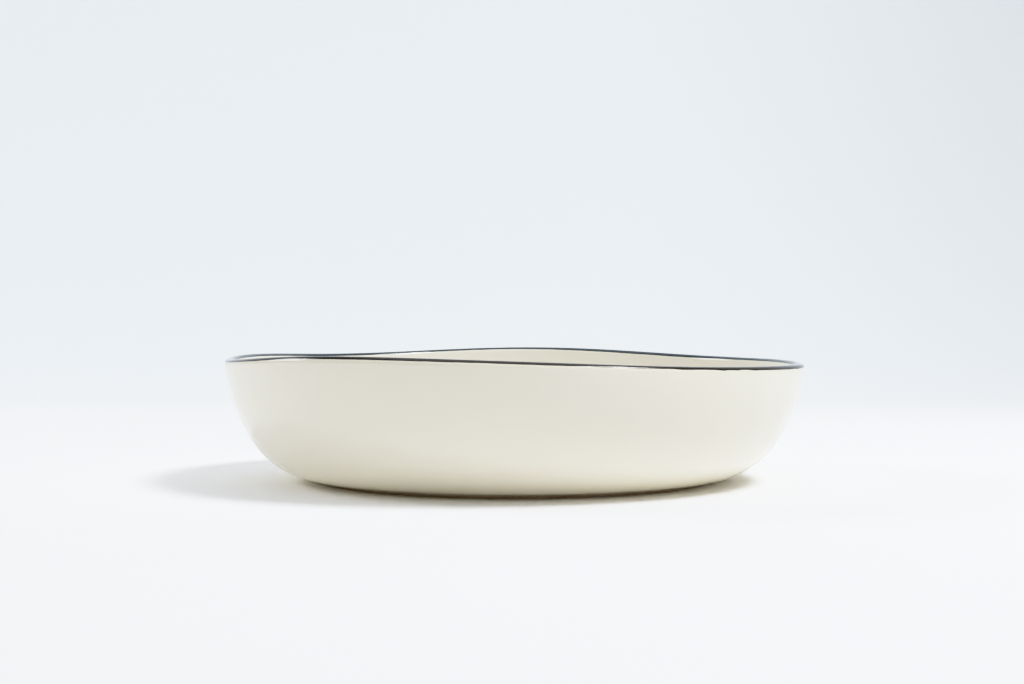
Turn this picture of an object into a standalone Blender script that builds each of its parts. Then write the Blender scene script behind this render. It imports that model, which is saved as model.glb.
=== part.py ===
"""Shallow salad bowl of fired clay, with cream glaze coats, a dark glazed lip and a rim that sways.

Metres, +Z up. The origin is on the table, in the middle of the standing ring, and -Y is the front.
Each layer is a section turned about the vertical axis and then swayed, so all layers keep in step.
"""

import math

import bmesh
import bpy
from mathutils import Vector

# Overall form
RIM_DIAMETER = 0.300  # across the outside of the lip, on average
RIM_HEIGHT = 0.0638  # table to the top of the lip, on average
BELLY_REACH = 0.0287  # how far the underside runs outwards before it turns up
WALL_REACH = 0.0331  # how far the upper wall keeps the lean that it has at the lip
WALL_LEAN_DEG = 80.8  # slope of the wall at the lip, from the horizontal
BASE_THICKNESS = 0.006  # glaze to glaze at the foot
LIP_THICKNESS = 0.0052  # glaze to glaze at the lip, whose edge is a full round

# Bare standing ring
FOOT_DIAMETER = 0.202  # across the outside of the ring
FOOT_WIDTH = 0.005  # outer wall of the ring to its inner wall
FOOT_HEIGHT = 0.0017  # table to the glazed underside outside the ring
RECESS_DEPTH = 0.0020  # table to the glazed base inside the ring
FOOT_EASE = 0.0008  # chamfer on the two lower edges of the ring

# Glaze coats
GLAZE_THICKNESS = 0.0004
COAT_CLEARANCE = 0.0003  # left between a coat and whatever it lies on or stops at
BAND_REACH = 0.0028  # from the top of the lip to each edge of the dark band, along the surface
BARE_MARGIN = 0.0004  # clay wiped clean of glaze beside the ring

# Waves of the rim: crests round the rim, weight, and the angle from +X in degrees where one stands
RIM_SWAY_HEIGHT = 0.001  # height of a wave of weight 1
RIM_WAVES = (
    (1, 1.63, 175.0),
    (2, 1.76, 75.0),
    (3, 0.31, -10.0),
    (4, 0.64, -14.0),
    (5, 0.46, 16.5),
    (6, 0.12, -19.0),
    (7, 0.09, 17.0),
)
# Out-of-round of the rim in plan, in the same form
PLAN_SWAY_REACH = 0.0005  # reach of a wave of weight 1
PLAN_WAVES = (
    (2, 1.6, 45.0),
    (3, 1.0, 30.0),
)
SWAY_START_HEIGHT = 0.012  # the wall is true up to this height, and sways more and more above it

# Fineness of the facets
SEGMENTS = 64
WALL_STEPS = 10
LIP_STEPS = 6

# What follows from the sizes above
FOOT_RADIUS = FOOT_DIAMETER / 2
RING_INNER_RADIUS = FOOT_RADIUS - FOOT_WIDTH
LIP_RADIUS = LIP_THICKNESS / 2
LEAN = math.radians(WALL_LEAN_DEG)
LIP_TOP_TURN = math.pi - LEAN  # from the outside of the lip's round to its highest point
COAT_DEPTH = GLAZE_THICKNESS + COAT_CLEARANCE  # glazed surface to clay
FLOOR_HEIGHT = FOOT_HEIGHT + BASE_THICKNESS  # table to the glazed floor inside the bowl

# Stations along the skin: up the outside, over the round of the lip, and down the inside to the floor
OUTSIDE_FOOT = 0.0
LIP_OUTSIDE = 1.0
LIP_INSIDE = 2.0
FLOOR_EDGE = 3.0

# Bezier knots of the outside of the wall, as (radius, height), from the foot to the lip
FOOT_KNOT = Vector((FOOT_RADIUS, FOOT_HEIGHT))
BELLY_HANDLE = FOOT_KNOT + Vector((BELLY_REACH, 0))
LIP_KNOT = Vector(
    (
        RIM_DIAMETER / 2 - LIP_RADIUS * (1 - math.sin(LEAN)),
        RIM_HEIGHT - LIP_RADIUS * (1 + math.cos(LEAN)),
    )
)
WALL_HANDLE = LIP_KNOT - WALL_REACH * Vector((math.cos(LEAN), math.sin(LEAN)))


def wall(share):
    """Point on the outside of the wall, and its way inwards, from the foot (0) to the lip (1)."""
    back = 1 - share
    point = (
        back**3 * FOOT_KNOT
        + 3 * back**2 * share * BELLY_HANDLE
        + 3 * back * share**2 * WALL_HANDLE
        + share**3 * LIP_KNOT
    )
    along = (
        back**2 * (BELLY_HANDLE - FOOT_KNOT)
        + 2 * back * share * (WALL_HANDLE - BELLY_HANDLE)
        + share**2 * (LIP_KNOT - WALL_HANDLE)
    )
    return point, Vector((-along.y, along.x)).normalized()


def skin_point(station, depth):
    """Point this deep under the glazed skin at a station."""
    if station <= LIP_OUTSIDE:
        point, inwards = wall(station)
        return point + depth * inwards
    if station >= LIP_INSIDE:
        share = FLOOR_EDGE - station
        point, inwards = wall(share)
        thickness = BASE_THICKNESS + (LIP_THICKNESS - BASE_THICKNESS) * share
        return point + (thickness - depth) * inwards
    point, inwards = wall(1.0)
    upwards = Vector((inwards.y, -inwards.x))
    turn = math.pi * (station - LIP_OUTSIDE)
    around = math.sin(turn) * upwards - math.cos(turn) * inwards
    return point + LIP_RADIUS * inwards + (LIP_RADIUS - depth) * around


def skin_line(depth, first, last):
    """Points under the skin from one station to another, with the steps between that all layers share."""
    wall_steps = [step / WALL_STEPS for step in range(WALL_STEPS)]
    lip_steps = [step / LIP_STEPS for step in range(LIP_STEPS)]
    steps = (
        [OUTSIDE_FOOT + step for step in wall_steps]
        + [LIP_OUTSIDE + step for step in lip_steps]
        + [LIP_INSIDE + step for step in wall_steps]
    )
    stations = [first, *(step for step in steps if first < step < last), last]
    return [skin_point(station, depth) for station in stations]


def station_past_lip_top(distance):
    """Station this far along the skin from the top of the lip: inside where positive, else outside."""
    turn = LIP_TOP_TURN + distance / LIP_RADIUS
    wall_share = LIP_RADIUS / (3 * WALL_REACH)
    if turn < 0:
        return LIP_OUTSIDE + turn * wall_share
    if turn > math.pi:
        return LIP_INSIDE + (turn - math.pi) * wall_share
    return LIP_OUTSIDE + turn / math.pi


def station_beside_foot(distance):
    """Station this far out along the underside from the standing ring."""
    return OUTSIDE_FOOT + distance / (3 * BELLY_REACH)


def wave_sum(waves, angle):
    """Sum of the weighted waves at an angle round the rim."""
    return sum(weight * math.cos(crests * (angle - math.radians(at))) for crests, weight, at in waves)


def swayed(point):
    """Where a turned point ends up: nothing moves at the foot, and the lip moves in full."""
    share = max(0.0, (point.z - SWAY_START_HEIGHT) / (RIM_HEIGHT - SWAY_START_HEIGHT)) ** 2
    angle = math.atan2(point.y, point.x)
    grow = 1 + share * PLAN_SWAY_REACH * wave_sum(PLAN_WAVES, angle) / (RIM_DIAMETER / 2)
    lift = share * RIM_SWAY_HEIGHT * wave_sum(RIM_WAVES, angle)
    return Vector((point.x * grow, point.y * grow, point.z + lift))


def turned(name, section, material):
    """Object made by turning a section of (radius, height) points about the axis and swaying it.

    A section that starts on the axis also ends there, and any other section is a closed loop.
    """
    bm = bmesh.new()
    verts = [bm.verts.new((radius, 0, height)) for radius, height in section]
    edges = [bm.edges.new(pair) for pair in zip(verts, verts[1:])]
    if section[0][0] > 0:
        edges.append(bm.edges.new((verts[-1], verts[0])))
    bmesh.ops.spin(
        bm,
        geom=verts + edges,
        cent=(0, 0, 0),
        axis=(0, 0, 1),
        angle=math.tau,
        steps=SEGMENTS,
        use_merge=True,
    )
    bmesh.ops.remove_doubles(bm, verts=bm.verts, dist=1e-6)
    for vert in bm.verts:
        vert.co = swayed(vert.co)
    bmesh.ops.recalc_face_normals(bm, faces=bm.faces)
    mesh = bpy.data.meshes.new(name)
    bm.to_mesh(mesh)
    bm.free()
    mesh.shade_smooth()
    mesh.set_sharp_from_angle(angle=math.radians(35))
    mesh.materials.append(material)
    layer = bpy.data.objects.new(name, mesh)
    bpy.context.scene.collection.objects.link(layer)


def finish(name, colour, roughness):
    """Material with one colour and one roughness."""
    material = bpy.data.materials.new(name)
    material.use_nodes = True
    shader = material.node_tree.nodes["Principled BSDF"]
    shader.inputs["Base Color"].default_value = (*colour, 1.0)
    shader.inputs["Roughness"].default_value = roughness
    shader.inputs["Metallic"].default_value = 0.0
    return material


def coat_section(first, last):
    """Closed loop of a glaze coat between two stations."""
    return skin_line(0.0, first, last) + skin_line(GLAZE_THICKNESS, first, last)[::-1]


def clay_section():
    """Fired clay: standing ring, outside wall, lip, inside wall and floor, from the axis round to it."""
    base_height = RECESS_DEPTH + COAT_DEPTH
    base_middle = (0, base_height)
    ring = [
        (RING_INNER_RADIUS, base_height),
        (RING_INNER_RADIUS, FOOT_EASE),
        (RING_INNER_RADIUS + FOOT_EASE, 0),
        (FOOT_RADIUS - FOOT_EASE, 0),
        (FOOT_RADIUS, FOOT_EASE),
    ]
    floor_middle = (0, FLOOR_HEIGHT - COAT_DEPTH)
    return [base_middle, *ring, *skin_line(COAT_DEPTH, OUTSIDE_FOOT, FLOOR_EDGE), floor_middle]


def outside_glaze_section():
    """Cream coat from beside the standing ring up to the dark band."""
    first = station_beside_foot(BARE_MARGIN)
    last = station_past_lip_top(-BAND_REACH - COAT_CLEARANCE)
    return coat_section(first, last)


def rim_band_section():
    """Dark coat over the top of the lip and a little way down both sides."""
    return coat_section(station_past_lip_top(-BAND_REACH), station_past_lip_top(BAND_REACH))


def inside_glaze_section():
    """Cream coat from the dark band down the inside and over the floor."""
    first = station_past_lip_top(BAND_REACH + COAT_CLEARANCE)
    face = skin_line(0.0, first, FLOOR_EDGE)
    back = skin_line(GLAZE_THICKNESS, first, FLOOR_EDGE)
    return [(0, FLOOR_HEIGHT), *face[::-1], *back, (0, FLOOR_HEIGHT - GLAZE_THICKNESS)]


def base_glaze_section():
    """Cream coat on the base inside the standing ring."""
    edge = RING_INNER_RADIUS - BARE_MARGIN
    upper = RECESS_DEPTH + GLAZE_THICKNESS
    return [(0, upper), (edge, upper), (edge, RECESS_DEPTH), (0, RECESS_DEPTH)]


def build():
    """Clear the scene and make every layer of the bowl."""
    for old in list(bpy.data.objects):
        bpy.data.objects.remove(old)
    bare_clay = finish("bare_clay", (0.46, 0.33, 0.22), 0.85)
    cream_glaze = finish("cream_glaze", (0.70, 0.68, 0.59), 0.10)
    dark_glaze = finish("dark_glaze", (0.012, 0.012, 0.015), 0.06)
    turned("clay_body", clay_section(), bare_clay)
    turned("outside_glaze", outside_glaze_section(), cream_glaze)
    turned("inside_glaze", inside_glaze_section(), cream_glaze)
    turned("base_glaze", base_glaze_section(), cream_glaze)
    turned("rim_band", rim_band_section(), dark_glaze)


build()
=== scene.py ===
"""Looks of a low salad bowl: cream glaze over clay, a dark brushed lip and a rim that sways.

Laid out as an add-on and run as a script. Every layer of the bowl is a section turned about the
vertical axis by one Geometry Nodes tree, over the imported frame, in metres, with +Z up.
"""

import math

import bmesh
import bpy
from bpy.props import FloatProperty, FloatVectorProperty, IntProperty, PointerProperty
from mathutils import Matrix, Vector


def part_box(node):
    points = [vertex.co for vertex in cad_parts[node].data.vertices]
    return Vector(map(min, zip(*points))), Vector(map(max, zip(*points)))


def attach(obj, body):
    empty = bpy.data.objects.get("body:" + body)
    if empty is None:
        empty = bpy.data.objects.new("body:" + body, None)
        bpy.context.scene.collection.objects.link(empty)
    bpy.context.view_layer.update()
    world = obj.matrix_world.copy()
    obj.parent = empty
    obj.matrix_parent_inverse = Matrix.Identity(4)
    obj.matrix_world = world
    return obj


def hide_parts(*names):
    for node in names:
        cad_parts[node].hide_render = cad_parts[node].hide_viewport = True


bl_info = {
    "name": "Salad Bowl",
    "version": (1, 0, 0),
    "blender": (4, 5, 0),
    "location": "3D View > Sidebar > Salad Bowl",
    "description": "Makes a glazed salad bowl with a brushed lip, and a pale studio around it",
    "category": "Add Mesh",
}

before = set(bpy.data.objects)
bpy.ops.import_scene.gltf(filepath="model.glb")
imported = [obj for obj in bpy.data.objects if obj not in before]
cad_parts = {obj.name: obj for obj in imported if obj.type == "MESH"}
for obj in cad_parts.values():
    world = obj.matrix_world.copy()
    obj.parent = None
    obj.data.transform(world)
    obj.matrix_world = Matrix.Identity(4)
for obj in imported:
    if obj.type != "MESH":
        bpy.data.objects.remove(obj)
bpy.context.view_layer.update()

# Waves of the rim: crests round the rim, weight, and the angle from +X in degrees where one stands
RIM_WAVES = (
    (1, 1.63, 175.0),
    (2, 1.76, 75.0),
    (3, 0.31, -10.0),
    (4, 0.64, -14.0),
    (5, 0.46, 16.5),
    (6, 0.12, -19.0),
    (7, 0.09, 17.0),
)
PLAN_WAVES = (
    (2, 1.6, 45.0),
    (3, 1.0, 30.0),
)
RIM_SWAY = 0.001
PLAN_SWAY = 0.0005
# Reach of the dark band, in the same form: how much further the brush went down each side of the lip
OUTER_BRUSH_WAVES = (
    (0, 0.46, 0.0),
    (1, 0.17, 13.0),
    (2, 0.34, -16.0),
    (3, 0.25, -31.0),
    (4, 0.24, -13.0),
)
INNER_BRUSH_WAVES = (
    (0, 0.37, 0.0),
    (2, 0.28, 22.0),
    (3, 0.11, 37.0),
    (5, 0.21, -15.0),
)
BRUSH_SWAY = 0.001
ROUGH_EDGE_AT = math.radians(315.0)  # where the brushed edge is most uneven
ROUGH_EDGE_POWER = 6.0  # the higher, the shorter the uneven stretch

# Stations along the skin: up the outside, over the round of the lip, and down the inside to the floor
OUTSIDE_FOOT = 0.0
LIP_OUTSIDE = 1.0
LIP_INSIDE = 2.0
FLOOR_EDGE = 3.0

# Edges of the glaze coats
BAND_LAP = 0.0012  # how far a cream coat runs on under the dark band
BAND_SINK = 0.00005  # how much deeper it lies there
BAND_SINK_BLUR = 0.0008  # distance over which it sinks
BAND_BACK_SHARE = 0.8  # depth of the dark band's back, as a share of a coat's thickness
BAND_THINNING = 0.00012  # how much thinner the dark band is at its edges
BAND_THINNING_POWER = 12  # the higher, the closer to the edges it thins
COAT_BEAD_SHARE = 0.9  # round on the edge of a cream coat, as a share of its thickness

SENSOR_WIDTH_MM = 36.0
ROOM_COLOUR = (0.97, 0.985, 1.0)
GLAZE_IOR = 1.5
BOX_MARGIN = 0.00002  # the lip stays this far under the top of the CAD box
WELD_DISTANCE = 1e-6  # points that are closer than this are one
SHARP_EDGE = math.radians(40.0)  # faces that meet at more than this keep a crease


def wave_sum(waves, angle):
    """Sum of weighted waves at an angle round the rim."""
    return sum(weight * math.cos(crests * (angle - math.radians(at))) for crests, weight, at in waves)


def highest_crest(waves):
    """Largest sum of the waves anywhere round the rim."""
    return max(wave_sum(waves, math.radians(degree)) for degree in range(360))


def node_width(node):
    """Width of a CAD node along X."""
    low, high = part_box(node)
    return high.x - low.x


# Settings


def length_setting(name, description, default):
    """Setting for a length, in metres."""
    return FloatProperty(name=name, description=description, default=default, unit="LENGTH")


def colour_setting(name, description, default):
    """Setting for a colour."""
    return FloatVectorProperty(name=name, description=description, default=default, subtype="COLOR", size=3)


class BowlShape(bpy.types.PropertyGroup):
    """Sizes of the bowl."""

    rim_diameter: length_setting(
        "Rim Diameter",
        "Across the outside of the lip",
        node_width("outside_glaze"),
    )
    rim_height: length_setting(
        "Rim Height",
        "Table to the top of the lip, on average",
        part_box("rim_band")[1].z - RIM_SWAY * highest_crest(RIM_WAVES) - BOX_MARGIN,
    )
    belly_reach: length_setting(
        "Belly Reach",
        "How far the underside runs outwards before it turns up",
        0.0287,
    )
    wall_reach: length_setting(
        "Wall Reach",
        "How far the upper wall keeps the lean that it has at the lip",
        0.0331,
    )
    wall_lean: FloatProperty(
        name="Wall Lean",
        description="Slope of the wall at the lip, from the horizontal",
        default=math.radians(80.8),
        subtype="ANGLE",
    )
    base_thickness: length_setting("Base Thickness", "Glaze to glaze at the foot", 0.006)
    lip_thickness: length_setting(
        "Lip Thickness",
        "Glaze to glaze at the lip, whose edge is a full round",
        0.0052,
    )
    foot_diameter: length_setting("Foot Diameter", "Across the outside of the bare standing ring", 0.202)
    foot_width: length_setting("Foot Width", "Outer wall of the standing ring to its inner wall", 0.005)
    foot_height: length_setting("Foot Height", "Table to the glazed underside outside the ring", 0.0017)
    foot_ease: length_setting("Foot Ease", "Round on the lower edges of the standing ring", 0.0008)
    recess_depth: length_setting(
        "Recess Depth",
        "Table to the glazed base inside the ring",
        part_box("base_glaze")[0].z,
    )
    sway_start: length_setting("Sway Start", "Height up to which the wall is true", 0.012)
    unevenness: length_setting(
        "Unevenness",
        "How far the hand-shaped wall dips below its true surface",
        0.00012,
    )
    segments: IntProperty(
        name="Segments",
        description="Steps round the bowl",
        default=288,
    )


class BowlGlaze(bpy.types.PropertyGroup):
    """Sizes and colours of the glaze coats and the bare clay."""

    coat_thickness: length_setting("Coat Thickness", "Thickness of a glaze coat", 0.0004)
    band_reach: length_setting(
        "Band Reach",
        "From the top of the lip to each edge of the dark band, along the surface",
        0.0027,
    )
    band_wander: length_setting("Band Wander", "How far the brushed edge of the dark band strays", 0.001)
    bare_margin: length_setting(
        "Bare Margin",
        "Clay wiped clean of glaze beside the standing ring",
        0.0004,
    )
    cream: colour_setting(
        "Cream",
        "Colour of the cream glaze on the outside and the base",
        (0.919, 0.872, 0.723),
    )
    # Painted light: a duller, cooler copy of the cream for the inside, standing for its shade and a pale
    # sheen of reflection.
    cream_inside_painted_shade_sheen: colour_setting(
        "Inside Cream",
        "Colour of the cream glaze inside the bowl, painted duller and cooler, as shade and pale sheen",
        (0.887, 0.852, 0.756),
    )
    # Painted light: a lighter cream towards the foot stands in for light bounced up off the floor onto the
    # belly.
    cream_painted_bounce: colour_setting(
        "Painted Bounce Cream",
        "Colour of the cream glaze painted lighter under the belly for light bounced off the floor",
        (0.99, 0.938, 0.785),
    )
    dark: colour_setting(
        "Dark",
        "Colour of the dark glaze on the outside of the lip",
        (0.038, 0.034, 0.031),
    )
    # Painted reflection: a bluer, paler copy of the dark glaze for the inside of the lip, standing for the
    # cool sheen it reflects.
    dark_inside_painted_reflection: colour_setting(
        "Inside Dark",
        "Colour of the dark glaze on the inside of the lip",
        (0.048, 0.066, 0.078),
    )
    dark_thin: colour_setting(
        "Thin Dark",
        "Colour where the dark glaze is brushed thin",
        (0.06, 0.05, 0.044),
    )
    speck: colour_setting("Speck", "Colour of the iron specks", (0.30, 0.26, 0.20))
    clay: colour_setting("Clay", "Colour of the bare fired clay", (0.62, 0.53, 0.47))
    clay_grit: colour_setting("Clay Grit", "Colour of the grit in the clay", (0.42, 0.34, 0.27))


class BowlStage(bpy.types.PropertyGroup):
    """Camera, lights and floor."""

    lens_mm: FloatProperty(
        name="Lens",
        description="Focal length on a 36 mm wide sensor, in millimetres",
        default=60.0,
    )
    camera_place: FloatVectorProperty(
        name="Camera Place",
        description="Where the camera stands",
        default=(-0.0015, -0.8923, 0.0834),
        subtype="TRANSLATION",
        size=3,
    )
    camera_pitch: FloatProperty(
        name="Camera Pitch",
        description="How far the camera looks down",
        default=0.01336,
        subtype="ANGLE",
    )
    ambient: FloatProperty(
        name="Ambient",
        description="Brightness of the pale room all round",
        default=0.315,
    )
    key_power: FloatProperty(
        name="Key Power",
        description="Power of the light at the front right, in watts",
        default=38.3,
    )
    side_power: FloatProperty(
        name="Side Power",
        description="Power of the light at the back left, in watts",
        default=13.5,
    )
    top_power: FloatProperty(
        name="Top Power",
        description="Power of the broad panel overhead, in watts",
        default=21.4,
    )
    floor_colour: colour_setting("Floor Colour", "Colour of the floor", (0.952, 0.962, 0.995))
    # Painted shade: the paper is given a darker, cooler colour where it rises, for the dimmer light on the
    # upright part.
    backdrop_painted_shade_colour: colour_setting(
        "Backdrop Colour",
        "Colour of the backdrop that the floor sweeps up into",
        (0.887, 0.946, 0.995),
    )


# Section of the bowl


def wall(shape, share):
    """Point on the outside of the wall, and its way inwards, from the foot (0) to the lip (1)."""
    lip_radius = shape.lip_thickness / 2
    lean = shape.wall_lean
    foot_knot = Vector((shape.foot_diameter / 2, shape.foot_height))
    belly_handle = foot_knot + Vector((shape.belly_reach, 0))
    lip_knot = Vector(
        (
            shape.rim_diameter / 2 - lip_radius * (1 - math.sin(lean)),
            shape.rim_height - lip_radius * (1 + math.cos(lean)),
        )
    )
    wall_handle = lip_knot - shape.wall_reach * Vector((math.cos(lean), math.sin(lean)))
    back = 1 - share
    point = (
        back**3 * foot_knot
        + 3 * back**2 * share * belly_handle
        + 3 * back * share**2 * wall_handle
        + share**3 * lip_knot
    )
    along = (
        back**2 * (belly_handle - foot_knot)
        + 2 * back * share * (wall_handle - belly_handle)
        + share**2 * (lip_knot - wall_handle)
    )
    return point, Vector((-along.y, along.x)).normalized()


def lip_middle(shape):
    """Middle of the lip's round."""
    point, inwards = wall(shape, 1.0)
    return point + shape.lip_thickness / 2 * inwards


def skin_point(shape, station, depth):
    """Point this deep under the glazed skin at a station."""
    if station <= LIP_OUTSIDE:
        point, inwards = wall(shape, station)
        return point + depth * inwards
    if station >= LIP_INSIDE:
        share = FLOOR_EDGE - station
        point, inwards = wall(shape, share)
        thickness = shape.base_thickness + (shape.lip_thickness - shape.base_thickness) * share
        return point + (thickness - depth) * inwards
    inwards = wall(shape, 1.0)[1]
    upwards = Vector((inwards.y, -inwards.x))
    turn = math.pi * (station - LIP_OUTSIDE)
    outwards = math.sin(turn) * upwards - math.cos(turn) * inwards
    return lip_middle(shape) + (shape.lip_thickness / 2 - depth) * outwards


def station_past_lip_top(shape, distance):
    """Station this far along the skin from the top of the lip: inside where positive, else outside."""
    lip_radius = shape.lip_thickness / 2
    turn = math.pi - shape.wall_lean + distance / lip_radius
    wall_share = lip_radius / (3 * shape.wall_reach)
    if turn < 0:
        return LIP_OUTSIDE + turn * wall_share
    if turn > math.pi:
        return LIP_INSIDE + (turn - math.pi) * wall_share
    return LIP_OUTSIDE + turn / math.pi


def station_beside_foot(shape, distance):
    """Station this far out along the underside from the standing ring."""
    return OUTSIDE_FOOT + distance / (3 * shape.belly_reach)


def skin_line(shape, first, last, depth_at, wall_steps=72, lip_steps=36):
    """Points from one station to another, each as deep under the skin as depth_at says there."""
    walls = [step / wall_steps for step in range(wall_steps)]
    lips = [step / lip_steps for step in range(lip_steps)]
    steps = (
        [OUTSIDE_FOOT + step for step in walls]
        + [LIP_OUTSIDE + step for step in lips]
        + [LIP_INSIDE + step for step in walls]
    )
    stations = [first, *(step for step in steps if first < step < last), last]
    return [skin_point(shape, station, depth_at(station)) for station in stations]


def flat_line(start_radius, end_radius, height, steps):
    """Points along a level line, with both ends."""
    return [
        Vector((start_radius + (end_radius - start_radius) * step / steps, height))
        for step in range(steps + 1)
    ]


def rounded_corner(corner, before, after, radius, steps=5):
    """Points that round a corner off between the lines from before and to after."""
    start = corner + radius * (before - corner).normalized()
    end = corner + radius * (after - corner).normalized()
    points = []
    for step in range(steps + 1):
        share = step / steps
        points.append((1 - share) ** 2 * start + 2 * share * (1 - share) * corner + share**2 * end)
    return points


# Geometry Nodes


def add_node(tree, kind, **settings):
    """New node with some of its settings given."""
    node = tree.nodes.new(kind)
    for name, value in settings.items():
        setattr(node, name, value)
    return node


def feed(tree, socket, value):
    """Link a socket to another, or set its plain value."""
    if isinstance(value, bpy.types.NodeSocket):
        tree.links.new(value, socket)
    else:
        socket.default_value = value


def calc(tree, operation, *values):
    """Output of a math node."""
    node = add_node(tree, "ShaderNodeMath", operation=operation)
    for socket, value in zip(node.inputs, values):
        feed(tree, socket, value)
    return node.outputs[0]


def ranged(tree, value, low, high):
    """Output that runs from low to high as a value runs from 0 to 1."""
    return calc(tree, "MULTIPLY_ADD", value, high - low, low)


def new_tree(name, kind, inputs, outputs):
    """New node group with named sockets, and its input and output nodes."""
    tree = bpy.data.node_groups.new(name, kind)
    for label, socket_kind in inputs:
        tree.interface.new_socket(label, in_out="INPUT", socket_type=socket_kind)
    for label, socket_kind in outputs:
        tree.interface.new_socket(label, in_out="OUTPUT", socket_type=socket_kind)
    start = tree.nodes.new("NodeGroupInput")
    end = tree.nodes.new("NodeGroupOutput")
    return tree, start.outputs, end.inputs


def wave_tree():
    """Group that gives one wave at an angle."""
    kind = "NodeSocketFloat"
    inputs = [("Angle", kind), ("Crests", kind), ("Weight", kind), ("Crest Angle", kind)]
    tree, given, result = new_tree("rim_wave", "GeometryNodeTree", inputs, [("Height", kind)])
    turn = calc(tree, "SUBTRACT", given["Angle"], given["Crest Angle"])
    wave = calc(tree, "COSINE", calc(tree, "MULTIPLY", turn, given["Crests"]))
    feed(tree, result["Height"], calc(tree, "MULTIPLY", wave, given["Weight"]))
    return tree


def add_waves(tree, wave, angle, waves):
    """Output that sums some waves at an angle."""
    total = 0.0
    for crests, weight, at in waves:
        node = add_node(tree, "GeometryNodeGroup", node_tree=wave)
        feed(tree, node.inputs["Angle"], angle)
        feed(tree, node.inputs["Crests"], float(crests))
        feed(tree, node.inputs["Weight"], weight)
        feed(tree, node.inputs["Crest Angle"], math.radians(at))
        total = calc(tree, "ADD", node.outputs["Height"], total)
    return total


def noise(tree, vector, scale, detail, offset):
    """Output of a noise between about -1 and 1, shifted by an offset that serves as its seed."""
    shift = add_node(tree, "ShaderNodeVectorMath", operation="ADD")
    feed(tree, shift.inputs[0], vector)
    feed(tree, shift.inputs[1], (offset, offset, offset))
    node = add_node(tree, "ShaderNodeTexNoise")
    feed(tree, node.inputs["Vector"], shift.outputs[0])
    feed(tree, node.inputs["Scale"], scale)
    feed(tree, node.inputs["Detail"], detail)
    return calc(tree, "MULTIPLY_ADD", node.outputs[0], 2.0, -1.0)


def combine(tree, x, y, z):
    """Vector output made of three values."""
    node = add_node(tree, "ShaderNodeCombineXYZ")
    for socket, value in zip(node.inputs, (x, y, z)):
        feed(tree, socket, value)
    return node.outputs[0]


def around(tree, radius, angle, height):
    """Vector output of the point at a radius, an angle round Z and a height."""
    return combine(
        tree,
        calc(tree, "MULTIPLY", radius, calc(tree, "COSINE", angle)),
        calc(tree, "MULTIPLY", radius, calc(tree, "SINE", angle)),
        height,
    )


def split(tree, vector):
    """The three values of a vector output."""
    node = add_node(tree, "ShaderNodeSeparateXYZ")
    feed(tree, node.inputs[0], vector)
    return node.outputs


def sampled(tree, section, value, index, data_type):
    """Value of the section's point at an index."""
    node = add_node(tree, "GeometryNodeSampleIndex", data_type=data_type, domain="POINT")
    feed(tree, node.inputs["Geometry"], section)
    feed(tree, node.inputs["Value"], value)
    feed(tree, node.inputs["Index"], index)
    return node.outputs[0]


def section_grid(tree, given):
    """Grid with a row for each point of the section, and each grid point's angle, place and edge."""
    size = add_node(tree, "GeometryNodeAttributeDomainSize", component="MESH")
    feed(tree, size.inputs[0], given["Section"])
    points = size.outputs["Point Count"]
    grid = add_node(tree, "GeometryNodeMeshGrid")
    feed(tree, grid.inputs["Size X"], 1.0)
    feed(tree, grid.inputs["Size Y"], 1.0)
    feed(tree, grid.inputs["Vertices X"], calc(tree, "ADD", given["Segments"], 1.0))
    feed(tree, grid.inputs["Vertices Y"], points)
    here = split(tree, add_node(tree, "GeometryNodeInputPosition").outputs[0])
    angle = calc(tree, "MULTIPLY", calc(tree, "ADD", here["X"], 0.5), math.tau)
    last_point = calc(tree, "SUBTRACT", points, 1.0)
    index = calc(tree, "ROUND", calc(tree, "MULTIPLY", calc(tree, "ADD", here["Y"], 0.5), last_point))
    place = add_node(tree, "GeometryNodeInputPosition").outputs[0]
    flat = split(tree, sampled(tree, given["Section"], place, index, "FLOAT_VECTOR"))
    named = add_node(tree, "GeometryNodeInputNamedAttribute", data_type="FLOAT")
    feed(tree, named.inputs["Name"], "edge")
    edge = sampled(tree, given["Section"], named.outputs[0], index, "FLOAT")
    return grid.outputs["Mesh"], angle, flat, edge


def brush_turn(tree, given, wave, angle, edge):
    """How far a brushed edge strays along the round of the lip, in long strokes with short dabs on them."""
    outside = calc(tree, "LESS_THAN", edge, 0.0)
    outer_reach = add_waves(tree, wave, angle, OUTER_BRUSH_WAVES)
    inner_reach = add_waves(tree, wave, angle, INNER_BRUSH_WAVES)
    outer_excess = calc(tree, "SUBTRACT", outer_reach, inner_reach)
    stroke = calc(tree, "MULTIPLY_ADD", outer_excess, outside, inner_reach)
    side = calc(tree, "ADD", calc(tree, "SIGN", edge), given["Seed"])
    rim_place = around(tree, given["Rim Radius"], angle, side)
    facing = calc(tree, "COSINE", calc(tree, "SUBTRACT", angle, ROUGH_EDGE_AT))
    rough_share = calc(tree, "POWER", calc(tree, "MAXIMUM", facing, 0.0), ROUGH_EDGE_POWER)
    roughness = ranged(tree, rough_share, low=0.2, high=1.0)
    dabs = calc(tree, "MULTIPLY", noise(tree, rim_place, scale=110.0, detail=2.0, offset=9.1), roughness)
    stray = calc(
        tree,
        "ADD",
        calc(tree, "MULTIPLY", dabs, given["Dab Turn"]),
        calc(tree, "MULTIPLY", stroke, given["Stroke Turn"]),
    )
    return calc(tree, "MULTIPLY", stray, calc(tree, "MULTIPLY", edge, -1.0))


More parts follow.
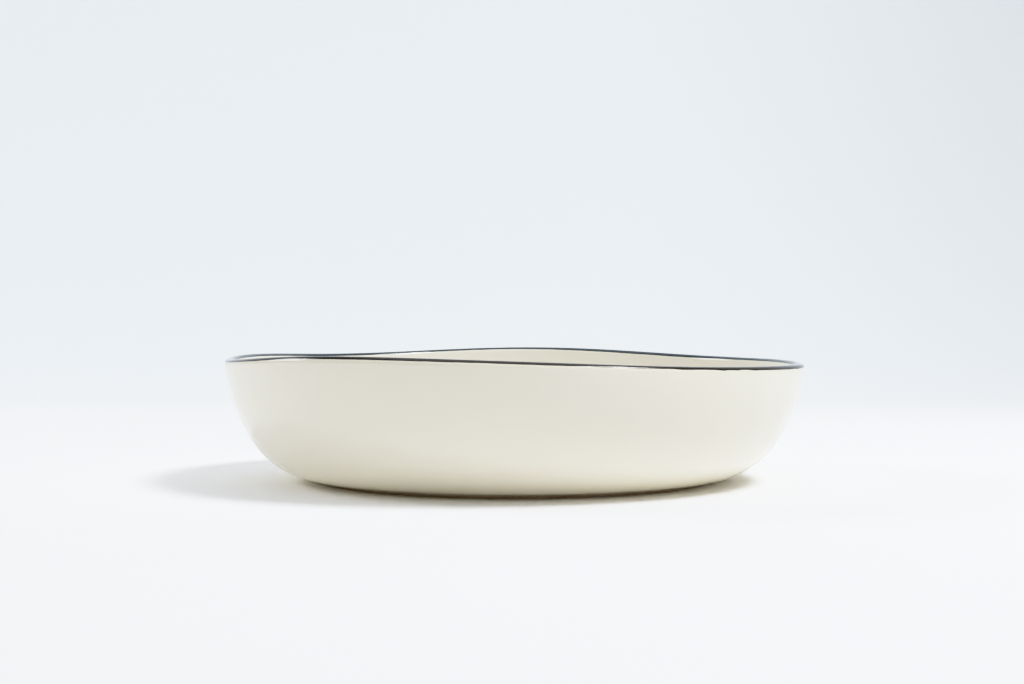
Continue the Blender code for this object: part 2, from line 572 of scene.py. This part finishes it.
def turned_about_lip(tree, given, flat, turn):
    """Radius and height of a section point after a turn about the middle of the lip's round."""
    off_x = calc(tree, "SUBTRACT", flat["X"], given["Lip Middle Radius"])
    off_z = calc(tree, "SUBTRACT", flat["Z"], given["Lip Middle Height"])
    cosine = calc(tree, "COSINE", turn)
    sine = calc(tree, "SINE", turn)
    out = calc(tree, "ADD", calc(tree, "MULTIPLY", off_x, cosine), calc(tree, "MULTIPLY", off_z, sine))
    up = calc(tree, "SUBTRACT", calc(tree, "MULTIPLY", off_z, cosine), calc(tree, "MULTIPLY", off_x, sine))
    radius = calc(tree, "ADD", given["Lip Middle Radius"], out)
    height = calc(tree, "ADD", given["Lip Middle Height"], up)
    return radius, height


def swayed_place(tree, given, wave, angle, radius, height):
    """Where a turned point ends up: the wall dips here and there, and sways more towards the lip."""
    dents = noise(tree, around(tree, radius, angle, height), scale=14.0, detail=1.0, offset=21.3)
    dent = calc(tree, "MULTIPLY_ADD", dents, 0.5, 0.5)
    climb = calc(
        tree,
        "DIVIDE",
        calc(tree, "SUBTRACT", height, given["Sway Start"]),
        calc(tree, "SUBTRACT", given["Rim Height"], given["Sway Start"]),
    )
    share = calc(tree, "POWER", calc(tree, "MAXIMUM", climb, 0.0), 2.0)
    bulge = calc(tree, "MULTIPLY", add_waves(tree, wave, angle, PLAN_WAVES), given["Plan Sway"])
    grow = calc(tree, "DIVIDE", calc(tree, "MULTIPLY", share, bulge), given["Rim Radius"])
    swayed_radius = calc(tree, "MULTIPLY", radius, calc(tree, "ADD", grow, 1.0))
    dip = calc(tree, "MULTIPLY", dent, given["Unevenness"])
    dip_here = calc(tree, "MULTIPLY", dip, calc(tree, "MINIMUM", climb, 1.0))
    dented_radius = calc(tree, "SUBTRACT", swayed_radius, dip_here)
    rise = calc(tree, "MULTIPLY", add_waves(tree, wave, angle, RIM_WAVES), given["Rim Sway"])
    return around(tree, dented_radius, angle, calc(tree, "MULTIPLY_ADD", share, rise, height))


def turned_layer_tree():
    """Tree that turns a section about Z, lets a brushed edge stray, and sways the result.

    The section is a row of points (radius, 0, height). Its edge attribute is -1 at the outer edge of a
    brushed band, 1 at its inner edge, and 0 elsewhere.
    """
    number = "NodeSocketFloat"
    inputs = [
        ("Section", "NodeSocketGeometry"),
        ("Segments", "NodeSocketInt"),
        ("Rim Radius", number),
        ("Rim Height", number),
        ("Sway Start", number),
        ("Rim Sway", number),
        ("Plan Sway", number),
        ("Lip Middle Radius", number),
        ("Lip Middle Height", number),
        ("Dab Turn", number),
        ("Stroke Turn", number),
        ("Unevenness", number),
        ("Seed", number),
        ("Material", "NodeSocketMaterial"),
    ]
    outputs = [("Layer", "NodeSocketGeometry")]
    tree, given, result = new_tree("turned_layer", "GeometryNodeTree", inputs, outputs)
    wave = wave_tree()
    grid, angle, flat, edge = section_grid(tree, given)
    turn = brush_turn(tree, given, wave, angle, edge)
    radius, height = turned_about_lip(tree, given, flat, turn)
    position = swayed_place(tree, given, wave, angle, radius, height)
    keep_edge = add_node(tree, "GeometryNodeStoreNamedAttribute", data_type="FLOAT", domain="POINT")
    feed(tree, keep_edge.inputs["Geometry"], grid)
    feed(tree, keep_edge.inputs["Name"], "edge")
    feed(tree, keep_edge.inputs["Value"], edge)
    move = add_node(tree, "GeometryNodeSetPosition")
    feed(tree, move.inputs["Geometry"], keep_edge.outputs[0])
    feed(tree, move.inputs["Position"], position)
    weld = add_node(tree, "GeometryNodeMergeByDistance")
    feed(tree, weld.inputs["Geometry"], move.outputs[0])
    feed(tree, weld.inputs["Distance"], WELD_DISTANCE)
    realize = add_node(tree, "GeometryNodeRealizeInstances")
    feed(tree, realize.inputs[0], weld.outputs[0])
    paint = add_node(tree, "GeometryNodeSetMaterial")
    feed(tree, paint.inputs["Geometry"], realize.outputs[0])
    feed(tree, paint.inputs["Material"], given["Material"])
    feed(tree, result["Layer"], paint.outputs[0])
    return tree


def turned_layer(name, section, material, edges=None, wander=0.0, seed=0.0):
    """Piece made by turning a section of (radius, height) points with the shared tree.

    A section that starts on the axis also ends there, and any other section is closed here.
    """
    scene = bpy.context.scene
    shape = scene.bowl_shape
    strays = edges or [0.0] * len(section)
    if section[0].x > WELD_DISTANCE:
        section = [*section, section[0]]
        strays = [*strays, strays[0]]
    row = bpy.data.meshes.new(name)
    row.from_pydata([(point.x, 0.0, point.y) for point in section], [], [])
    row.attributes.new("edge", "FLOAT", "POINT").data.foreach_set("value", strays)
    piece = bpy.data.objects.new(name, row)
    scene.collection.objects.link(piece)
    tree = bpy.data.node_groups.get("turned_layer") or turned_layer_tree()
    middle = lip_middle(shape)
    lip_radius = shape.lip_thickness / 2
    values = {
        "Segments": shape.segments,
        "Rim Radius": shape.rim_diameter / 2,
        "Rim Height": shape.rim_height,
        "Sway Start": shape.sway_start,
        "Rim Sway": RIM_SWAY,
        "Plan Sway": PLAN_SWAY,
        "Lip Middle Radius": middle.x,
        "Lip Middle Height": middle.y,
        "Dab Turn": wander / lip_radius,
        "Stroke Turn": BRUSH_SWAY / lip_radius,
        "Unevenness": shape.unevenness,
        "Seed": seed,
        "Material": material,
    }
    modifier = piece.modifiers.new("turned_layer", "NODES")
    modifier.node_group = tree
    for socket in tree.interface.items_tree:
        if socket.in_out == "INPUT" and socket.name in values:
            modifier[socket.identifier] = values[socket.name]
    graph = bpy.context.evaluated_depsgraph_get()
    mesh = bpy.data.meshes.new_from_object(piece.evaluated_get(graph))
    piece.modifiers.clear()
    piece.data = mesh
    mesh.name = name
    bpy.data.meshes.remove(row)
    bm = bmesh.new()
    bm.from_mesh(mesh)
    bmesh.ops.recalc_face_normals(bm, faces=bm.faces)
    bm.to_mesh(mesh)
    bm.free()
    mesh.shade_smooth()
    mesh.set_sharp_from_angle(angle=SHARP_EDGE)
    if len(mesh.polygons) == 0:
        raise RuntimeError(f"the section of {name} turned into nothing")
    return piece


def settle(piece, node):
    """Tie a piece to the frame: it rides on the only body and stands for its CAD node."""
    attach(piece, "root")
    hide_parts(node)


# Materials


def object_place(tree):
    """Output with the place on the object."""
    return add_node(tree, "ShaderNodeTexCoord").outputs["Object"]


def blend_colours(tree, share, first, second):
    """Output that runs from one colour to another."""
    node = add_node(tree, "ShaderNodeMix", data_type="RGBA")
    colour_sockets = [socket for socket in node.inputs if socket.type == "RGBA"]
    feed(tree, node.inputs["Factor"], share)
    for socket, tint in zip(colour_sockets, (first, second)):
        feed(tree, socket, tint if isinstance(tint, bpy.types.NodeSocket) else (*tint, 1.0))
    return next(socket for socket in node.outputs if socket.type == "RGBA")


def smooth_step(tree, value, start, end):
    """Output that eases from 0 to 1 as a value runs from start to end."""
    node = add_node(tree, "ShaderNodeMapRange", interpolation_type="SMOOTHSTEP")
    feed(tree, node.inputs["Value"], value)
    feed(tree, node.inputs["From Min"], start)
    feed(tree, node.inputs["From Max"], end)
    return node.outputs[0]


def bumped(tree, height, distance):
    """Normal output of a bump."""
    node = add_node(tree, "ShaderNodeBump")
    feed(tree, node.inputs["Distance"], distance)
    feed(tree, node.inputs["Height"], height)
    return node.outputs[0]


def new_material(name):
    """New material with its tree and its Principled shader."""
    material = bpy.data.materials.new(name)
    material.use_nodes = True
    return material, material.node_tree, material.node_tree.nodes["Principled BSDF"]


def mottle_group():
    """Group that gives slow changes of tone, with a finer cloud on top."""
    number = "NodeSocketFloat"
    inputs = [("Place", "NodeSocketVector"), ("Broad Scale", number), ("Fine Scale", number)]
    tree, given, result = new_tree("mottle", "ShaderNodeTree", inputs, [("Tone", number)])
    broad = noise(tree, given["Place"], given["Broad Scale"], detail=2.0, offset=5.5)
    fine = noise(tree, given["Place"], given["Fine Scale"], detail=3.0, offset=1.3)
    fine_weight = 0.35
    reach = 0.8
    tone = add_node(tree, "ShaderNodeMapRange")
    feed(tree, tone.inputs["Value"], calc(tree, "MULTIPLY_ADD", fine, fine_weight, broad))
    feed(tree, tone.inputs["From Min"], -reach)
    feed(tree, tone.inputs["From Max"], reach)
    feed(tree, result["Tone"], tone.outputs[0])
    return tree


def specks_group():
    """Group that gives a mask of small scattered specks."""
    number = "NodeSocketFloat"
    inputs = [("Place", "NodeSocketVector"), ("Scale", number), ("Radius", number), ("Share", number)]
    tree, given, result = new_tree("specks", "ShaderNodeTree", inputs, [("Mask", number)])
    cells = add_node(tree, "ShaderNodeTexVoronoi", feature="F1")
    feed(tree, cells.inputs["Vector"], given["Place"])
    feed(tree, cells.inputs["Scale"], given["Scale"])
    draw = split(tree, cells.outputs["Color"])
    chosen = calc(tree, "LESS_THAN", draw["X"], given["Share"])
    size = calc(tree, "MULTIPLY", given["Radius"], calc(tree, "MULTIPLY_ADD", draw["Y"], 0.8, 0.4))
    core = calc(tree, "MULTIPLY", size, 0.4)
    inside = smooth_step(tree, cells.outputs["Distance"], start=size, end=core)
    feed(tree, result["Mask"], calc(tree, "MULTIPLY", inside, chosen))
    return tree


def group_output(tree, name, make, values):
    """Output of a shared group in a material. The group is made the first time that it is asked for."""
    node = add_node(tree, "ShaderNodeGroup", node_tree=bpy.data.node_groups.get(name) or make())
    for label, value in values.items():
        feed(tree, node.inputs[label], value)
    return node.outputs[0]


def mottle(tree, place, broad_scale, fine_scale):
    """Tone from the shared mottle group."""
    values = {"Place": place, "Broad Scale": broad_scale, "Fine Scale": fine_scale}
    return group_output(tree, "mottle", mottle_group, values)


def specks(tree, place, scale, radius, share):
    """Mask from the shared specks group."""
    values = {"Place": place, "Scale": scale, "Radius": radius, "Share": share}
    return group_output(tree, "specks", specks_group, values)


def cream_glaze(name, cream, painted_bounce_cream):
    """Glossy cream glaze with a slow drift of tone, a few iron specks and a faint ripple.

    It runs to the second colour towards the foot, where a lighter one is painted light bounced up off the
    floor.
    """
    glaze = bpy.context.scene.bowl_glaze
    pooled_share = 0.97
    painted_bounce_start = 0.042
    pooled = tuple(channel * pooled_share for channel in cream)
    material, tree, shader = new_material(name)
    place = object_place(tree)
    tone = mottle(tree, place, broad_scale=18.0, fine_scale=120.0)
    spots = specks(tree, place, scale=70.0, radius=0.028, share=0.05)
    drift = blend_colours(tree, tone, cream, pooled)
    # Painted bounce light: share of the lighter low cream, growing towards the foot.
    low = smooth_step(tree, split(tree, place)["Z"], start=painted_bounce_start, end=0.0)
    base = blend_colours(tree, low, drift, painted_bounce_cream)
    feed(tree, shader.inputs["Base Color"], blend_colours(tree, spots, base, glaze.speck))
    feed(tree, shader.inputs["Roughness"], ranged(tree, tone, low=0.07, high=0.11))
    ripple = noise(tree, place, scale=260.0, detail=2.0, offset=7.9)
    spot_depth = -0.6
    height = calc(tree, "MULTIPLY_ADD", spots, spot_depth, ripple)
    feed(tree, shader.inputs["Normal"], bumped(tree, height, distance=0.00001))
    shader.inputs["IOR"].default_value = GLAZE_IOR
    return material


def dark_glaze():
    """Glossy dark glaze, browner where the brush left it thin at the edges, and bluer on the inside of the
    lip, which is a painted reflection.
    """
    glaze = bpy.context.scene.bowl_glaze
    material, tree, shader = new_material("dark_glaze_finish")
    place = object_place(tree)
    tone = mottle(tree, place, broad_scale=60.0, fine_scale=420.0)
    edge = add_node(tree, "ShaderNodeAttribute", attribute_name="edge").outputs["Fac"]
    rim = calc(tree, "POWER", calc(tree, "ABSOLUTE", edge), 4.0)
    thin = calc(tree, "MULTIPLY", rim, tone)
    # Painted reflection: share of the bluer inside copy of the dark glaze, across the lip.
    inside = smooth_step(tree, edge, start=-0.3, end=0.3)
    base = blend_colours(tree, inside, glaze.dark, glaze.dark_inside_painted_reflection)
    feed(tree, shader.inputs["Base Color"], blend_colours(tree, thin, base, glaze.dark_thin))
    feed(tree, shader.inputs["Roughness"], ranged(tree, tone, low=0.03, high=0.07))
    ripple = noise(tree, place, scale=300.0, detail=2.0, offset=4.2)
    feed(tree, shader.inputs["Normal"], bumped(tree, ripple, distance=0.00002))
    shader.inputs["IOR"].default_value = GLAZE_IOR
    return material


def bare_clay():
    """Dry fired clay with grit."""
    glaze = bpy.context.scene.bowl_glaze
    material, tree, shader = new_material("bare_clay_finish")
    place = object_place(tree)
    tone = mottle(tree, place, broad_scale=90.0, fine_scale=900.0)
    grit = specks(tree, place, scale=700.0, radius=0.22, share=0.3)
    pale_share = 1.12
    pale = tuple(min(1.0, channel * pale_share) for channel in glaze.clay)
    base = blend_colours(tree, tone, glaze.clay, pale)
    feed(tree, shader.inputs["Base Color"], blend_colours(tree, grit, base, glaze.clay_grit))
    feed(tree, shader.inputs["Roughness"], ranged(tree, tone, low=0.78, high=0.92))
    grain = noise(tree, place, scale=1500.0, detail=4.0, offset=2.6)
    feed(tree, shader.inputs["Normal"], bumped(tree, grain, distance=0.00008))
    return material


def pale_floor():
    """Matt pale paper with a trace of tooth; painted shade makes the backdrop cooler and darker than the
    floor and darkens it towards the right.
    """
    stage = bpy.context.scene.bowl_stage
    material, tree, shader = new_material("pale_floor_finish")
    place = object_place(tree)
    tone = mottle(tree, place, broad_scale=2.0, fine_scale=40.0)
    across = split(tree, place)
    # Painted shade: share of the darker, cooler backdrop colour as the paper rises.
    back = smooth_step(tree, across["Y"], start=0.55, end=1.2)
    # Painted shade: the backdrop darkens towards the right, where the light falls off.
    right = calc(
        tree,
        "MULTIPLY",
        smooth_step(tree, across["Y"], start=0.25, end=0.75),
        smooth_step(tree, across["X"], start=0.1, end=0.95),
    )
    painted_right_shade = 0.17
    tooth_shade = 0.01
    # Darkening made of the painted shade on the right plus the paper's own tooth.
    shade = calc(tree, "MULTIPLY_ADD", right, painted_right_shade, calc(tree, "MULTIPLY", tone, tooth_shade))
    base = blend_colours(tree, back, stage.floor_colour, stage.backdrop_painted_shade_colour)
    black = (0.0, 0.0, 0.0)
    feed(tree, shader.inputs["Base Color"], blend_colours(tree, shade, base, black))
    feed(tree, shader.inputs["Roughness"], ranged(tree, tone, low=0.85, high=0.95))
    shader.inputs["Specular IOR Level"].default_value = 0.1
    return material


# Operators


class BOWL_OT_clay_body(bpy.types.Operator):
    """Make the fired clay, whose standing ring is left bare"""

    bl_idname = "bowl.clay_body"
    bl_label = "Clay Body"

    def execute(self, context):
        shape = context.scene.bowl_shape
        glaze = context.scene.bowl_glaze
        depth = glaze.coat_thickness
        base_height = shape.recess_depth + depth
        outer = shape.foot_diameter / 2
        inner = outer - shape.foot_width
        recess_round = 0.0004
        foot_top = Vector((outer, shape.foot_height + depth))
        recess_corner = Vector((inner, base_height))
        inner_foot = Vector((inner, 0.0))
        outer_foot = Vector((outer, 0.0))
        section = [
            *flat_line(0.0, inner - recess_round, base_height, steps=16),
            *rounded_corner(recess_corner, Vector((0.0, base_height)), inner_foot, recess_round),
            *rounded_corner(inner_foot, recess_corner, outer_foot, shape.foot_ease),
            *rounded_corner(outer_foot, inner_foot, foot_top, shape.foot_ease),
            *skin_line(shape, OUTSIDE_FOOT, FLOOR_EDGE, lambda station: depth, wall_steps=36, lip_steps=12),
            *flat_line(outer, 0.0, shape.foot_height + shape.base_thickness - depth, steps=12)[1:],
        ]
        settle(turned_layer("clay_shell", section, bare_clay()), "clay_body")
        return {"FINISHED"}


class BOWL_OT_cream_coats(bpy.types.Operator):
    """Make the three cream glaze coats: outside, inside and base"""

    bl_idname = "bowl.cream_coats"
    bl_label = "Cream Coats"

    def execute(self, context):
        shape = context.scene.bowl_shape
        glaze = context.scene.bowl_glaze
        self.make_outside(shape, glaze)
        self.make_inside(shape, glaze)
        self.make_base(shape, glaze)
        return {"FINISHED"}

    def coat_face(self, shape, glaze, first, last):
        """Face of a coat, which sinks a little as it runs under the dark band."""
        outer_reach = glaze.band_reach + BRUSH_SWAY * highest_crest(OUTER_BRUSH_WAVES)
        inner_reach = glaze.band_reach + BRUSH_SWAY * highest_crest(INNER_BRUSH_WAVES)
        outer = station_past_lip_top(shape, -outer_reach)
        inner = station_past_lip_top(shape, inner_reach)
        blur = BAND_SINK_BLUR / (math.pi * shape.lip_thickness / 2)

        def sink(station):
            share = min(station - outer, inner - station) / blur
            return BAND_SINK * min(1.0, max(0.0, 0.5 + share / 2))

        return skin_line(shape, first, last, sink)

    def make_outside(self, shape, glaze):
        first = station_beside_foot(shape, glaze.bare_margin)
        last = station_past_lip_top(shape, BAND_LAP - glaze.band_reach)
        thickness = glaze.coat_thickness
        face = self.coat_face(shape, glaze, first, last)
        back = skin_line(shape, first, last, lambda station: thickness)
        bead = rounded_corner(face[0], back[0], face[1], thickness * COAT_BEAD_SHARE)
        section = [*bead, *face[1:], *back[::-1]]
        # The outside coat runs into the lighter low cream towards the foot, which is painted bounce light.
        finish = cream_glaze("outside_glaze_finish", glaze.cream, glaze.cream_painted_bounce)
        settle(turned_layer("outside_coat", section, finish), "outside_glaze")

    def make_inside(self, shape, glaze):
        first = station_past_lip_top(shape, glaze.band_reach - BAND_LAP)
        thickness = glaze.coat_thickness
        floor = shape.foot_height + shape.base_thickness
        foot = shape.foot_diameter / 2
        face = self.coat_face(shape, glaze, first, FLOOR_EDGE)
        back = skin_line(shape, first, FLOOR_EDGE, lambda station: thickness)
        section = [
            *flat_line(0.0, foot, floor, steps=24),
            *face[::-1][1:],
            *back,
            *flat_line(foot, 0.0, floor - thickness, steps=8)[1:],
        ]
        # The inside coat takes the copy of the cream that is painted with shade and sheen.
        finish = cream_glaze("inside_glaze_finish", glaze.cream_inside_painted_shade_sheen, glaze.cream_inside_painted_shade_sheen)
        settle(turned_layer("inside_coat", section, finish), "inside_glaze")

    def make_base(self, shape, glaze):
        edge = shape.foot_diameter / 2 - shape.foot_width - glaze.bare_margin
        low = shape.recess_depth
        high = low + glaze.coat_thickness
        bead = glaze.coat_thickness * COAT_BEAD_SHARE
        past_bead = 0.001
        section = [
            *flat_line(0.0, edge, high, steps=8),
            *rounded_corner(Vector((edge, low)), Vector((edge, high)), Vector((0.0, low)), bead),
            *flat_line(edge - past_bead, 0.0, low, steps=24),
        ]
        finish = cream_glaze("base_glaze_finish", glaze.cream, glaze.cream)
        settle(turned_layer("base_coat", section, finish), "base_glaze")


class BOWL_OT_rim_band(bpy.types.Operator):
    """Make the dark glaze band that is brushed over the lip"""

    bl_idname = "bowl.rim_band"
    bl_label = "Rim Band"

    def execute(self, context):
        shape = context.scene.bowl_shape
        glaze = context.scene.bowl_glaze
        steps = 32
        face = []
        back = []
        edges = []
        for step in range(steps + 1):
            edge = 2 * step / steps - 1
            station = station_past_lip_top(shape, edge * glaze.band_reach)
            thinning = BAND_THINNING * abs(edge) ** BAND_THINNING_POWER
            face.append(skin_point(shape, station, thinning))
            back.append(skin_point(shape, station, glaze.coat_thickness * BAND_BACK_SHARE))
            edges.append(math.copysign(edge**2, edge))
        piece = turned_layer(
            "rim_coat",
            [*face, *back[::-1]],
            dark_glaze(),
            edges=[*edges, *edges[::-1]],
            wander=glaze.band_wander,
            seed=4.0,
        )
        settle(piece, "rim_band")
        return {"FINISHED"}


class BOWL_OT_stage(bpy.types.Operator):
    """Make the floor, the lights and the camera"""

    bl_idname = "bowl.stage"
    bl_label = "Stage"

    def execute(self, context):
        scene = context.scene
        stage = scene.bowl_stage
        self.make_floor(scene)
        self.make_room(scene, stage)
        self.set_tones(scene)
        lights = (
            ("key_light", (1.165, -0.44, 1.985), (0.72, 0.56), stage.key_power),
            ("side_light", (-1.95, 0.578, 1.23), (0.85, 0.6), stage.side_power),
            ("top_panel", (0.0, 0.0, 2.6), (2.8, 2.8), stage.top_power),
        )
        for name, place, size, power in lights:
            self.make_light(scene, name, Vector(place), size, power)
        self.make_camera(scene, stage)
        return {"FINISHED"}

    def make_floor(self, scene):
        """Floor that sweeps up into a backdrop."""
        front = -6.0
        bend_start = 0.8
        bend_radius = 1.0
        bend_steps = 24
        half_width = 6.0
        top = 3.0
        outline = [(front, 0.0), (bend_start, 0.0)]
        for step in range(1, bend_steps + 1):
            turn = math.pi / 2 * step / bend_steps
            outline.append((bend_start + bend_radius * math.sin(turn), bend_radius * (1 - math.cos(turn))))
        outline.append((bend_start + bend_radius, top))
        vertices = [(side * half_width, y, z) for y, z in outline for side in (-1, 1)]
        faces = [(2 * row, 2 * row + 1, 2 * row + 3, 2 * row + 2) for row in range(len(outline) - 1)]
        mesh = bpy.data.meshes.new("floor")
        mesh.from_pydata(vertices, [], faces)
        mesh.shade_smooth()
        mesh.materials.append(pale_floor())
        floor = bpy.data.objects.new("floor", mesh)
        scene.collection.objects.link(floor)

    def make_room(self, scene, stage):
        """Even pale light from all round."""
        world = bpy.data.worlds.new("pale_room")
        world.use_nodes = True
        background = world.node_tree.nodes["Background"]
        background.inputs["Color"].default_value = (*ROOM_COLOUR, 1.0)
        background.inputs["Strength"].default_value = stage.ambient
        scene.world = world
        scene.cycles.diffuse_bounces = 12
        scene.cycles.max_bounces = 16

    def set_tones(self, scene):
        """Tones as a bright exposure gives them: soft, cool highlights above a knee, and firm shadows."""
        black, white, knee = 0.0296, 3.0, 0.531
        ceilings = (1.036, 1.054, 1.066)  # of red, green and blue
        lights = (knee, 0.6, 0.8, 1.0, 1.25, 1.5, 2.0)
        brightest = (white - black) / (1 - black)
        scene.view_settings.view_transform = "Standard"
        scene.view_settings.use_curve_mapping = True
        curve_map = scene.view_settings.curve_mapping
        curve_map.black_level = (black, black, black)
        curve_map.white_level = (white, white, white)
        for curve, ceiling in zip(curve_map.curves, ceilings):
            room = ceiling - knee
            for light in lights:
                tone = ceiling - room * math.exp((knee - light) / room)
                curve.points.new(light / brightest, min(1.0, tone))
        curve_map.update()

    def make_light(self, scene, name, place, size, power):
        """Soft rectangular light that stands somewhere and is aimed at the bowl."""
        lamp = bpy.data.lights.new(name, "AREA")
        lamp.shape = "RECTANGLE"
        lamp.size, lamp.size_y = size
        lamp.energy = power
        light = bpy.data.objects.new(name, lamp)
        light.location = place
        light.rotation_euler = place.to_track_quat("Z", "Y").to_euler()
        scene.collection.objects.link(light)

    def make_camera(self, scene, stage):
        """Camera at the photograph's viewing angle."""
        lens = bpy.data.cameras.new("photo_camera")
        lens.sensor_width = SENSOR_WIDTH_MM
        lens.lens = stage.lens_mm
        camera = bpy.data.objects.new("photo_camera", lens)
        camera.location = stage.camera_place
        camera.rotation_euler = (math.pi / 2 - stage.camera_pitch, 0.0, 0.0)
        scene.collection.objects.link(camera)
        scene.camera = camera


class BOWL_PT_sidebar(bpy.types.Panel):
    """Steps that make the bowl, in order"""

    bl_idname = "BOWL_PT_sidebar"
    bl_label = "Salad Bowl"
    bl_space_type = "VIEW_3D"
    bl_region_type = "UI"
    bl_category = "Salad Bowl"

    def draw(self, context):
        for operator in OPERATORS:
            self.layout.operator(operator.bl_idname)
        for settings in (context.scene.bowl_shape, context.scene.bowl_glaze, context.scene.bowl_stage):
            box = self.layout.box()
            for name in settings.__annotations__:
                box.prop(settings, name)


SETTINGS = {"bowl_shape": BowlShape, "bowl_glaze": BowlGlaze, "bowl_stage": BowlStage}
OPERATORS = (BOWL_OT_clay_body, BOWL_OT_cream_coats, BOWL_OT_rim_band, BOWL_OT_stage)


def register():
    """Register the settings, the operators and the panel."""
    for name, settings in SETTINGS.items():
        bpy.utils.register_class(settings)
        setattr(bpy.types.Scene, name, PointerProperty(type=settings))
    for item in (*OPERATORS, BOWL_PT_sidebar):
        bpy.utils.register_class(item)


def unregister():
    """Take everything back that register added."""
    for item in (BOWL_PT_sidebar, *OPERATORS[::-1]):
        bpy.utils.unregister_class(item)
    for name, settings in SETTINGS.items():
        delattr(bpy.types.Scene, name)
        bpy.utils.unregister_class(settings)


def main():
    register()
    bpy.ops.bowl.stage()
    bpy.ops.bowl.clay_body()
    bpy.ops.bowl.cream_coats()
    bpy.ops.bowl.rim_band()


if __name__ == "__main__":
    main()
